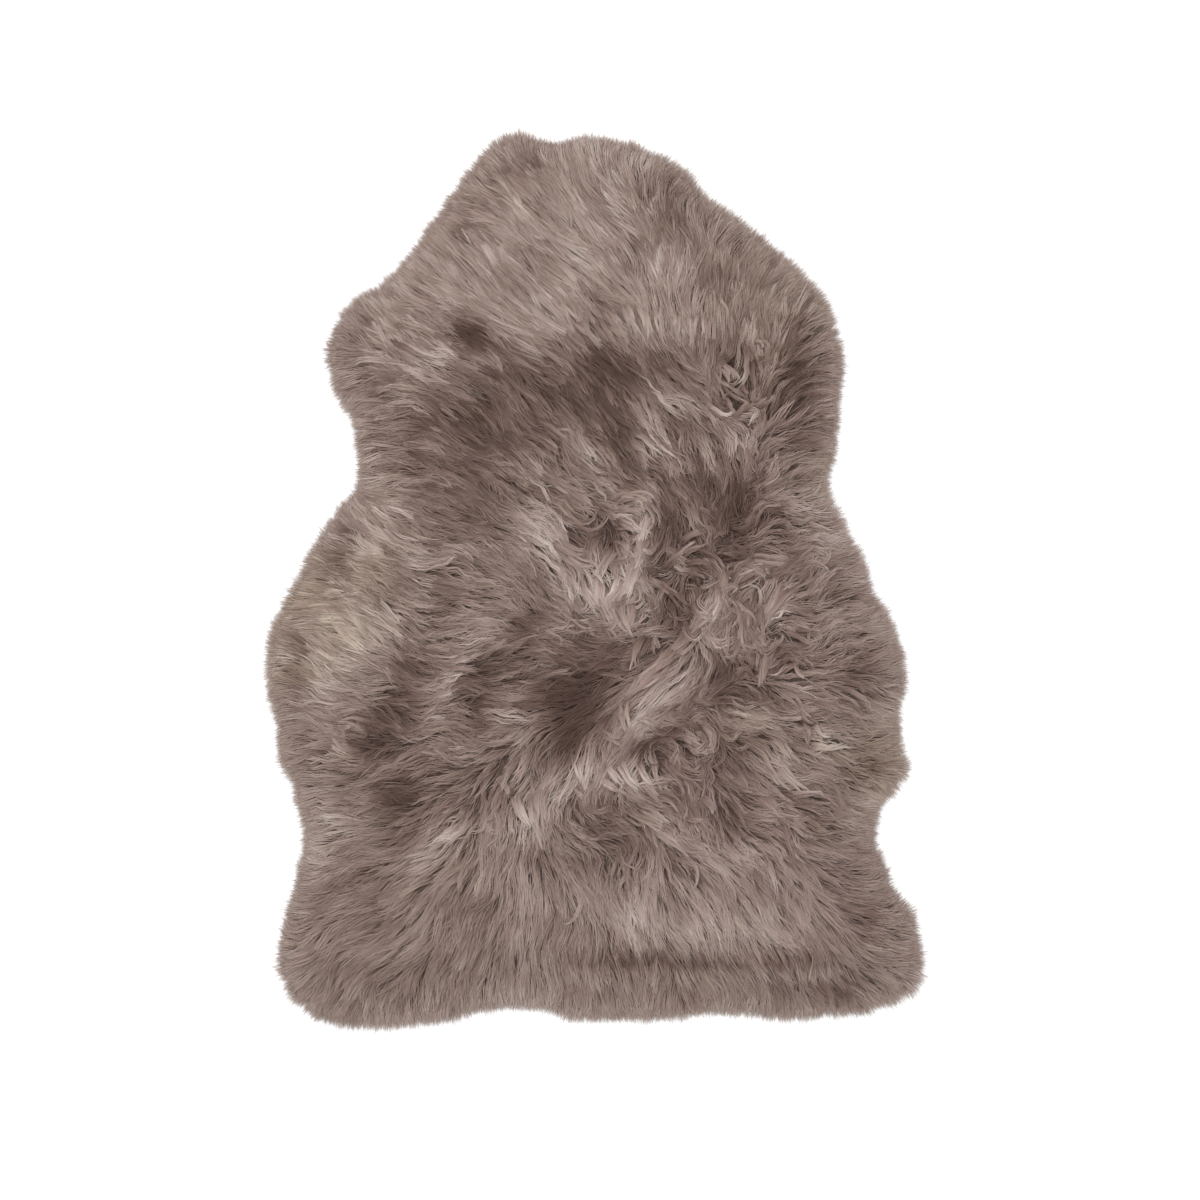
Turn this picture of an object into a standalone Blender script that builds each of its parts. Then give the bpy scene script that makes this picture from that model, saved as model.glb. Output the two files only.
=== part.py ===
"""A sheepskin rug: one pelt lying wool side up, its tanned skin flat on the floor.

Metres, +Z up. The origin is on the floor under the middle of the rug. +Y runs to the neck.
The pelt is one closed solid: a flat skin, a lumpy slab of wool, and locks that fall from the rim.
The tables give places on the pelt in millimetres from its middle, and headings in degrees from +X.
"""

import math

import bmesh
import bpy
import numpy as np
from mathutils import Matrix, Vector, noise
from mathutils.geometry import delaunay_2d_cdt

# The rug's real size, over the wool
PELT_WIDTH = 0.657
PELT_LENGTH = 0.898

# The skin, whose edge is hidden this far inside the tips of the wool
SKIN_THICKNESS = 0.0025
SKIN_SETBACK = 0.042

# The slab of wool on it
WOOL_HEIGHT = 0.041
RIM_HEIGHT = 0.014
RIM_UNEVENNESS = 0.002
RIM_ROUNDING = 0.062
RIM_SETBACK = 0.028
RIDGE_HEIGHT = 0.0187
RIDGE_PITCH = 0.024
RIDGE_STEP = 0.0108
RIDGE_STEPS_EACH_WAY = 4

# The locks at the rim. Shares are of a lock's length, or of the room between its neighbours.
LOCK_COUNT = 204
LOCK_MIDDLE = 0.55
LOCK_MIDDLE_HEIGHT = 0.0085
LOCK_MIDDLE_SHARE = 0.72
LOCK_TIP_HEIGHT = 0.0022
LOCK_TIP_SHARE = 0.30
LOCK_SHORTEST = 0.84
LOCK_SWAY = 0.12

# How finely the forms are worked out
MM = 0.001
MESH_PITCH = 0.0120
OUTLINE_STEPS = 720
SETBACK_STEP = 0.001
SETBACK_TRIES = 60
SOFTENED_STEPS = 23
COMB_BLEND = 0.055
RANDOM_SEED = 11

# The wool's outline: each bay, bulge and turn of the rim, as seen from the middle of the rug.
OUTLINE = (
    # bearing_deg, reach_mm
    (0, 276), (10, 261), (22, 253), (30, 282), (37, 312), (45, 348), (55, 370), (65, 384),
    (72, 398), (80, 426), (90, 442), (95, 436), (100, 452), (105, 437), (112, 399), (125, 363),
    (133, 366), (140, 347), (147, 284), (160, 253), (168, 271), (178, 290), (190, 323), (200, 342),
    (208, 353), (217, 368), (222, 388), (227, 452), (232, 506), (237, 518), (245, 494), (252, 462),
    (260, 434), (270, 440), (287, 452), (295, 482), (302, 513), (308, 523), (313, 482), (317, 392),
    (322, 370), (328, 369), (332, 343), (340, 333), (350, 308),
)

# How the wool is combed: the heading of the wool's tips at places on the pelt.
COMBED = (
    # x_mm, y_mm, heading_deg
    (-110, 350, 315), (0, 370, 310), (80, 370, 290),
    (-210, 270, 330), (-90, 260, 325), (30, 280, 300), (130, 290, 268), (220, 240, 300),
    (-220, 150, 0), (-100, 150, 320), (20, 150, 310), (110, 150, 320), (210, 130, 25),
    (-210, 30, 345), (-80, 40, 325), (40, 20, 280), (150, 30, 0), (240, 10, 10),
    (-270, -70, 160), (-180, -80, 335), (-70, -90, 15), (90, -80, 230), (240, -90, 5),
    (-250, -190, 185), (-130, -190, 215), (-20, -190, 275), (110, -190, 325), (240, -210, 340),
    (-240, -300, 205), (-120, -290, 240), (-20, -310, 275), (100, -310, 295), (220, -300, 325),
    (-240, -400, 240), (-90, -400, 258), (60, -400, 275), (220, -400, 300),
)

# The hollows and crowns that show from a step away. The heading is that of their longer side.
MOUNDS = (
    # x_mm, y_mm, half_length_mm, half_width_mm, heading_deg, rise_mm
    (-118, 242, 24, 20, 0, -10),
    (-105, 135, 48, 30, 40, -7),
    (-70, 175, 52, 20, 48, -6),
    (26, 142, 55, 24, 102, -9),
    (72, 375, 42, 18, 110, -7),
    (140, 78, 40, 27, 60, -11),
    (88, -20, 24, 18, 0, -7),
    (212, 198, 36, 28, 60, -8),
    (-12, -112, 62, 34, 72, -13),
    (-118, -118, 36, 24, 60, -6),
    (-200, -128, 36, 22, 70, -6),
    (-202, -222, 52, 24, 85, -7),
    (72, -160, 30, 15, 20, -7),
    (138, -100, 28, 20, 30, -7),
    (205, -72, 32, 20, 0, -6),
    (-62, -30, 30, 14, 120, -7),
    (120, -376, 100, 11, 0, -6),
    (76, 262, 62, 42, 100, 4),
    (-120, 330, 84, 60, 40, 3),
    (-12, 150, 46, 18, 130, 5),
    (-205, 60, 60, 44, 0, 4),
    (-85, -35, 70, 15, 60, 5),
    (40, 25, 52, 26, 60, 6),
    (78, -105, 70, 20, 46, 6),
    (-242, -65, 60, 30, -30, 4),
    (-20, -230, 58, 30, 10, 4),
    (248, -160, 50, 30, 0, 4),
    (130, -335, 84, 32, 0, 4),
)


def clear_scene():
    for obj in list(bpy.data.objects):
        bpy.data.objects.remove(obj, do_unlink=True)


def make_material(name, color, roughness):
    """A plain surface of one colour. Neither wool nor skin is metallic."""
    material = bpy.data.materials.new(name)
    material.use_nodes = True
    shader = material.node_tree.nodes["Principled BSDF"]
    shader.inputs["Base Color"].default_value = (*color, 1.0)
    shader.inputs["Roughness"].default_value = roughness
    shader.inputs["Metallic"].default_value = 0.0
    material.diffuse_color = (*color, 1.0)
    return material


def wool_outline():
    """The rim of the wool as a closed line of evenly spaced bearings, eased through the table's rows."""
    bearing, reach_mm = np.array(OUTLINE, float).T
    bearings = np.concatenate([bearing[-2:] - 360.0, bearing, bearing[:2] + 360.0])
    reaches = np.concatenate([reach_mm[-2:], reach_mm, reach_mm[:2]]) * MM
    slopes = np.gradient(reaches, bearings)
    turn = np.linspace(0.0, 360.0, OUTLINE_STEPS, endpoint=False)
    row = np.searchsorted(bearings, turn, side="right") - 1
    span = bearings[row + 1] - bearings[row]
    t = (turn - bearings[row]) / span
    reach = (
        (2 * t**3 - 3 * t**2 + 1) * reaches[row]
        + (t**3 - 2 * t**2 + t) * span * slopes[row]
        + (3 * t**2 - 2 * t**3) * reaches[row + 1]
        + (t**3 - t**2) * span * slopes[row + 1]
    )
    angle = np.radians(turn)
    return np.column_stack([reach * np.cos(angle), reach * np.sin(angle)])


def distance_to(line, points):
    """How far each point is from the closed line."""
    along = np.roll(line, -1, axis=0) - line
    away = points[:, None, :] - line[None, :, :]
    share = np.clip((away * along).sum(axis=2) / (along * along).sum(axis=1), 0.0, 1.0)
    return np.linalg.norm(away - share[:, :, None] * along, axis=2).min(axis=1)


def set_back(outline, setback):
    """The closed line that runs inside the outline at this distance, softened at its corners."""
    reach = np.linalg.norm(outline, axis=1)
    direction = outline / reach[:, None]
    inner = reach - setback
    for _ in range(SETBACK_TRIES):
        too_near = distance_to(outline, direction * inner[:, None]) < setback
        inner[too_near] -= SETBACK_STEP
    window = np.hanning(SOFTENED_STEPS)
    half = len(window) // 2
    wrapped = np.concatenate([inner[-half:], inner, inner[:half]])
    inner = np.convolve(wrapped, window / window.sum(), mode="valid")
    return direction * inner[:, None]


def evenly_spaced(line, count):
    """This many points at equal steps along the closed line."""
    closed = np.vstack([line, line[:1]])
    length = np.concatenate([[0.0], np.cumsum(np.linalg.norm(np.diff(closed, axis=0), axis=1))])
    places = np.linspace(0.0, length[-1], count, endpoint=False)
    return np.column_stack([np.interp(places, length, closed[:, axis]) for axis in (0, 1)])


def inside(line, points):
    """Which points lie inside the closed line."""
    x, y = points[:, 0:1], points[:, 1:2]
    x1, y1 = line[:, 0], line[:, 1]
    x2, y2 = np.roll(x1, -1), np.roll(y1, -1)
    spans = (y1 > y) != (y2 > y)
    rise = np.where(y2 == y1, 1.0, y2 - y1)
    crossing = x1 + (y - y1) * (x2 - x1) / rise
    return (spans & (x < crossing)).sum(axis=1) % 2 == 1


def comb_direction(points):
    """The line along which the wool lies at each point, as unit vectors blended between the table's rows."""
    rows = np.array(COMBED, float)
    gap = np.linalg.norm(points[:, None, :] - rows[None, :, :2] * MM, axis=2)
    weight = np.exp(-0.5 * (gap / COMB_BLEND) ** 2)
    doubled = 2.0 * np.radians(rows[:, 2])
    heading = 0.5 * np.arctan2(weight @ np.sin(doubled), weight @ np.cos(doubled))
    return np.column_stack([np.cos(heading), np.sin(heading)])


def combed_ridges(points):
    """Long soft ridges that follow the wool: one noise, averaged along the way the wool lies."""
    direction = comb_direction(points)
    total = np.zeros(len(points))
    steps = range(-RIDGE_STEPS_EACH_WAY, RIDGE_STEPS_EACH_WAY + 1)
    for step in steps:
        places = (points + direction * step * RIDGE_STEP) / RIDGE_PITCH
        total += [noise.noise(Vector((x, y, 0.5))) for x, y in places]
    return total / len(steps) * RIDGE_HEIGHT


def mounds(points):
    """The table's hollows and crowns, each a soft bell."""
    rise = np.zeros(len(points))
    for x, y, half_length, half_width, heading, height in MOUNDS:
        angle = math.radians(heading)
        dx = points[:, 0] - x * MM
        dy = points[:, 1] - y * MM
        along = (dx * math.cos(angle) + dy * math.sin(angle)) / (half_length * MM)
        across = (dy * math.cos(angle) - dx * math.sin(angle)) / (half_width * MM)
        rise += height * MM * np.exp(-(along**2 + across**2))
    return rise


def wool_heights(points, depth_inside):
    """The top of the wool: rounded down to the rim, combed into ridges, with hollows and crowns."""
    inward = np.clip(depth_inside / RIM_ROUNDING, 0.0, 1.0)
    rounded = np.sqrt(1.0 - (1.0 - inward) ** 2)
    lumps = combed_ridges(points) + mounds(points)
    return RIM_HEIGHT + rounded * (WOOL_HEIGHT - RIM_HEIGHT) + np.sqrt(inward) * rounded * lumps


def points_on_top(rim):
    """Rows of points inside the rim, staggered, the first ring close behind the rim itself."""
    across = np.arange(-0.55 * PELT_WIDTH, 0.55 * PELT_WIDTH, MESH_PITCH)
    up = np.arange(-0.55 * PELT_LENGTH, 0.55 * PELT_LENGTH, MESH_PITCH * math.sqrt(0.75))
    grid = np.array([(x + 0.5 * MESH_PITCH * (row % 2), y) for row, y in enumerate(up) for x in across])
    grid = grid[inside(rim, grid)]
    return grid[distance_to(rim, grid) > 0.8 * MESH_PITCH]


def lay_top(bm, rim, rng):
    """The lumpy top of the slab, from its rim inward, and the rim's points in order."""
    rest = points_on_top(rim)
    flat = np.vstack([rim, rest])
    loop = [(i, (i + 1) % len(rim)) for i in range(len(rim))]
    corners, _, faces, origins, _, _ = delaunay_2d_cdt([Vector(p) for p in flat], loop, [], 1, 1e-7)
    plan = np.array([(c.x, c.y) for c in corners])
    heights = wool_heights(plan, distance_to(rim, plan))
    order = {source: place for place, sources in enumerate(origins) for source in sources}
    rim_places = [order[i] for i in range(len(rim))]
    heights[rim_places] += rng.uniform(-RIM_UNEVENNESS, RIM_UNEVENNESS, len(rim))
    verts = [bm.verts.new((x, y, z)) for (x, y), z in zip(plan, heights)]
    for face in faces:
        bm.faces.new([verts[i] for i in face])
    return [verts[place] for place in rim_places]


def drop_rim_wall(bm, top_rim):
    """The slab's low wall, one quad for each lock, and the ring of points under the rim."""
    under = [bm.verts.new((v.co.x, v.co.y, SKIN_THICKNESS)) for v in top_rim]
    wall = []
    for i, top in enumerate(top_rim):
        j = (i + 1) % len(top_rim)
        wall.append(bm.faces.new([under[i], under[j], top_rim[j], top]))
    return wall, under


def close_under(bm, under, skin):
    """The wool's underside, and the flat skin that stands out below it and lies on the floor."""
    upper = [bm.verts.new((x, y, SKIN_THICKNESS)) for x, y in skin]
    lower = [bm.verts.new((x, y, 0.0)) for x, y in skin]
    count = len(under)
    for i in range(count):
        j = (i + 1) % count
        bm.faces.new([under[j], under[i], upper[i], upper[j]])
        bm.faces.new([upper[j], upper[i], lower[i], lower[j]]).material_index = 1
    bm.faces.new(lower[::-1]).material_index = 1


def reach_out(outline, start, direction):
    """How far it is from the start to the outline in this direction."""
    ends = np.roll(outline, -1, axis=0)
    side = ends - outline
    away = outline - start
    cross = direction[0] * side[:, 1] - direction[1] * side[:, 0]
    cross = np.where(np.abs(cross) < 1e-12, 1e-12, cross)
    ahead = (away[:, 0] * side[:, 1] - away[:, 1] * side[:, 0]) / cross
    share = (away[:, 0] * direction[1] - away[:, 1] * direction[0]) / cross
    hits = ahead[(ahead > 0.0) & (share >= 0.0) & (share <= 1.0)]
    return hits.min() if len(hits) else RIM_SETBACK


def room_between(places):
    """The space that each of these neighbours in a ring has: the gap to the nearer one."""
    ahead = np.linalg.norm(np.roll(places, -1, axis=0) - places, axis=1)
    return np.minimum(ahead, np.roll(ahead, 1))


def outward_from(rim):
    """The way out from the rim at the middle of each of its steps, evened out along it."""
    along = np.roll(rim, -1, axis=0) - rim
    outward = np.column_stack([along[:, 1], -along[:, 0]])
    for _ in range(6):
        outward = 0.5 * outward + 0.25 * (np.roll(outward, 1, axis=0) + np.roll(outward, -1, axis=0))
    return outward / np.linalg.norm(outward, axis=1)[:, None]


def draw_lock(bm, face, center, side, height):
    """One step of a lock: its end face is drawn out to a new center, and reaches by side each way from it."""
    drawn = bmesh.ops.extrude_discrete_faces(bm, faces=[face])["faces"][0]
    corners = ((-side, 0.0), (side, 0.0), (side, height), (-side, height))
    for loop, (across, z) in zip(drawn.loops, corners):
        place = center + across
        loop.vert.co = (place[0], place[1], z)
    return drawn


def hang_locks(bm, wall, rim, outline, rng):
    """Four-sided locks, fused to the slab at their roots. They stand apart and rest level on the floor."""
    roots = 0.5 * (rim + np.roll(rim, -1, axis=0))
    outward = outward_from(rim)
    sideways = np.column_stack([-outward[:, 1], outward[:, 0]])
    length = np.array([reach_out(outline, root, way) for root, way in zip(roots, outward)])[:, None]
    middles = roots + outward * length * LOCK_MIDDLE
    middle_room = room_between(middles)
    tip_room = room_between(roots + outward * length)
    for i, face in enumerate(wall):
        sway = rng.uniform(-LOCK_SWAY, LOCK_SWAY)
        share = rng.uniform(LOCK_SHORTEST, 1.0)
        middle = middles[i] + sideways[i] * sway * middle_room[i]
        tip = roots[i] + outward[i] * length[i] * share + sideways[i] * 2.0 * sway * tip_room[i]
        middle_side = sideways[i] * 0.5 * LOCK_MIDDLE_SHARE * middle_room[i]
        tip_side = sideways[i] * 0.5 * LOCK_TIP_SHARE * tip_room[i]
        end = draw_lock(bm, face, middle, middle_side, LOCK_MIDDLE_HEIGHT)
        draw_lock(bm, end, tip, tip_side, LOCK_TIP_HEIGHT)


def fit_to_size(bm):
    """Bring the pelt to its stated width and length, its middle over the origin."""
    places = np.array([v.co[:] for v in bm.verts])
    low, high = places.min(axis=0), places.max(axis=0)
    middle = 0.5 * (low + high)
    bmesh.ops.translate(bm, verts=bm.verts[:], vec=(-middle[0], -middle[1], 0.0))
    grown = Matrix.Diagonal((PELT_WIDTH / (high[0] - low[0]), PELT_LENGTH / (high[1] - low[1]), 1.0))
    bmesh.ops.transform(bm, matrix=grown.to_4x4(), verts=bm.verts[:])


def build_sheepskin(collection):
    rng = np.random.default_rng(RANDOM_SEED)
    outline = wool_outline()
    rim = evenly_spaced(set_back(outline, RIM_SETBACK), LOCK_COUNT)
    skin_line = set_back(outline, SKIN_SETBACK)
    nearest = [np.linalg.norm(skin_line - point, axis=1).argmin() for point in rim]
    bm = bmesh.new()
    top_rim = lay_top(bm, rim, rng)
    wall, under = drop_rim_wall(bm, top_rim)
    close_under(bm, under, skin_line[nearest])
    hang_locks(bm, wall, rim, outline, rng)
    fit_to_size(bm)
    bmesh.ops.recalc_face_normals(bm, faces=bm.faces[:])
    mesh = bpy.data.meshes.new("sheepskin")
    bm.to_mesh(mesh)
    bm.free()
    mesh.materials.append(make_material("wool", (0.30, 0.225, 0.19), 0.9))
    mesh.materials.append(make_material("skin", (0.62, 0.53, 0.43), 0.8))
    mesh.shade_smooth()
    mesh.set_sharp_from_angle(angle=math.radians(40))
    sheepskin = bpy.data.objects.new("sheepskin", mesh)
    collection.objects.link(sheepskin)
    return sheepskin


clear_scene()
pieces = bpy.data.collections.new("sheepskin_rug")
bpy.context.scene.collection.children.link(pieces)
build_sheepskin(pieces)
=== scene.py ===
import math

import bmesh
import bpy
import numpy as np
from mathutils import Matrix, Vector
from mathutils.bvhtree import BVHTree


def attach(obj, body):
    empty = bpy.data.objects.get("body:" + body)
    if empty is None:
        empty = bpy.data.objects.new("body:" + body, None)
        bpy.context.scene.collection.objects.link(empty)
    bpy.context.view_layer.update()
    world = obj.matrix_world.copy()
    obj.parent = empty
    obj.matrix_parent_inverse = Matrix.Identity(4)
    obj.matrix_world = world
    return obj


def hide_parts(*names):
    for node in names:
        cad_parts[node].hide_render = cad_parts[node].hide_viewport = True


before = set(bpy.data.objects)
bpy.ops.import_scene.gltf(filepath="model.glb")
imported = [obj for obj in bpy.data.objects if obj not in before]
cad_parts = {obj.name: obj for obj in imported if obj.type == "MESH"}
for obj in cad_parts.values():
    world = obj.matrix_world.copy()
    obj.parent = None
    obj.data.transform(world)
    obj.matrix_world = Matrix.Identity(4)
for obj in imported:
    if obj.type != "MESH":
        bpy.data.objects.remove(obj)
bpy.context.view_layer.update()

# ------------------------------------------------------------------ the studio
# A white floor, one wide soft light beyond the neck and to the left, and a white surround that fills.
# The camera looks straight down, the neck end up, and sees 1.2 m across at the height of the wool.
WOOL_LEVEL = 0.03
VIEW_WIDTH = 1.2
LENS_MM = 100.0
SENSOR_MM = 36.0
LAMP_SIDE = 2.4
camera_data = bpy.data.cameras.new("camera")
camera_data.lens = LENS_MM
camera_data.sensor_width = SENSOR_MM
camera = bpy.data.objects.new("camera", camera_data)
camera.location = (0.005, -0.020, WOOL_LEVEL + VIEW_WIDTH * LENS_MM / SENSOR_MM)
bpy.context.scene.collection.objects.link(camera)
bpy.context.scene.camera = camera

soft_light = bpy.data.lights.new("soft_light", "AREA")
soft_light.shape = "RECTANGLE"
soft_light.size = LAMP_SIDE
soft_light.size_y = LAMP_SIDE
soft_light.energy = 56.0
lamp = bpy.data.objects.new("soft_light", soft_light)
lamp.location = (-0.55, 0.75, 2.6)
lamp.rotation_euler = (-lamp.location).to_track_quat("-Z", "Y").to_euler()
bpy.context.scene.collection.objects.link(lamp)

surround = bpy.data.worlds.new("surround")
surround.use_nodes = True
surround.node_tree.nodes["Background"].inputs["Color"].default_value = (1.0, 1.0, 1.0, 1.0)
surround.node_tree.nodes["Background"].inputs["Strength"].default_value = 0.95
bpy.context.scene.world = surround
bpy.context.scene.view_settings.view_transform = "Standard"

floor_mesh = bpy.data.meshes.new("floor")
shape = bmesh.new()
bmesh.ops.create_grid(shape, x_segments=1, y_segments=1, size=4.0)
bmesh.ops.translate(shape, verts=shape.verts, vec=(0.0, 0.0, -0.0005))
shape.to_mesh(floor_mesh)
shape.free()
floor = bpy.data.objects.new("floor", floor_mesh)
bpy.context.scene.collection.objects.link(floor)
floor_paint = bpy.data.materials.new("floor_paint")
floor_paint.use_nodes = True
white = floor_paint.node_tree.nodes["Principled BSDF"]
white.inputs["Base Color"].default_value = (0.93, 0.93, 0.93, 1.0)
white.inputs["Roughness"].default_value = 0.9
floor_mesh.materials.append(floor_paint)

# ------------------------------------------------------------------ the pelt's form
# The height of the wool and the way in from the rim, read off the pelt's own solid on a square grid.
# The gaps between the solid's locks are filled first, as the wool fills them.
CELL = 0.004
GRID_HALF_WIDTH = 0.36
GRID_HALF_LENGTH = 0.48
plan_x, plan_y = np.meshgrid(
    np.arange(-GRID_HALF_WIDTH, GRID_HALF_WIDTH + 0.0001, CELL),
    np.arange(-GRID_HALF_LENGTH, GRID_HALF_LENGTH + 0.0001, CELL),
)
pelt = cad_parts["sheepskin"].data
pelt_tree = BVHTree.FromPolygons([v.co for v in pelt.vertices], [p.vertices[:] for p in pelt.polygons])
straight_down = Vector((0, 0, -1))
hits = [pelt_tree.ray_cast(Vector((x, y, 0.5)), straight_down)[0] for x, y in zip(plan_x.flat, plan_y.flat)]
solid_top = np.array([hit.z if hit else 0.0 for hit in hits]).reshape(plan_x.shape)


def widen(field, cells, pick=np.maximum):
    """The most (or least) of the cells round each cell, this many cells out."""
    for axis in (0, 1) * cells:
        field = pick.reduce([field, np.roll(field, 1, axis=axis), np.roll(field, -1, axis=axis)])
    return field


def soften(field, times):
    """Each cell mixed with the cells beside it, this many times over."""
    for axis in (0, 1) * times:
        field = 0.5 * field + 0.25 * (np.roll(field, 1, axis=axis) + np.roll(field, -1, axis=axis))
    return field


def at(field, places):
    """The field's value at each place, x and y in metres."""
    u = np.clip((places[..., 0] - plan_x[0, 0]) / CELL, 0.0, plan_x.shape[1] - 1.001)
    v = np.clip((places[..., 1] - plan_y[0, 0]) / CELL, 0.0, plan_x.shape[0] - 1.001)
    i, j = u.astype(int), v.astype(int)
    u, v = u - i, v - j
    near_row = field[j, i] * (1 - u) + field[j, i + 1] * u
    far_row = field[j + 1, i] * (1 - u) + field[j + 1, i + 1] * u
    return near_row * (1 - v) + far_row * v


covered = widen(widen((solid_top > 0.0).astype(float), 2), 2, np.minimum) > 0.5
edge = covered & (widen(covered.astype(float), 1, np.minimum) < 0.5)
edge_x, edge_y = plan_x[edge], plan_y[edge]
to_rim = np.stack([
    np.sqrt(((row_x[:, None] - edge_x) ** 2 + (row_y[:, None] - edge_y) ** 2).min(axis=1))
    for row_x, row_y in zip(plan_x, plan_y)
])
to_rim = soften(np.where(covered, to_rim, -to_rim), 2) + 0.5 * CELL
away_y, away_x = np.gradient(-soften(to_rim, 8), CELL)
length = np.hypot(away_x, away_y) + 1e-9
away_x, away_y = away_x / length, away_y / length

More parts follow.
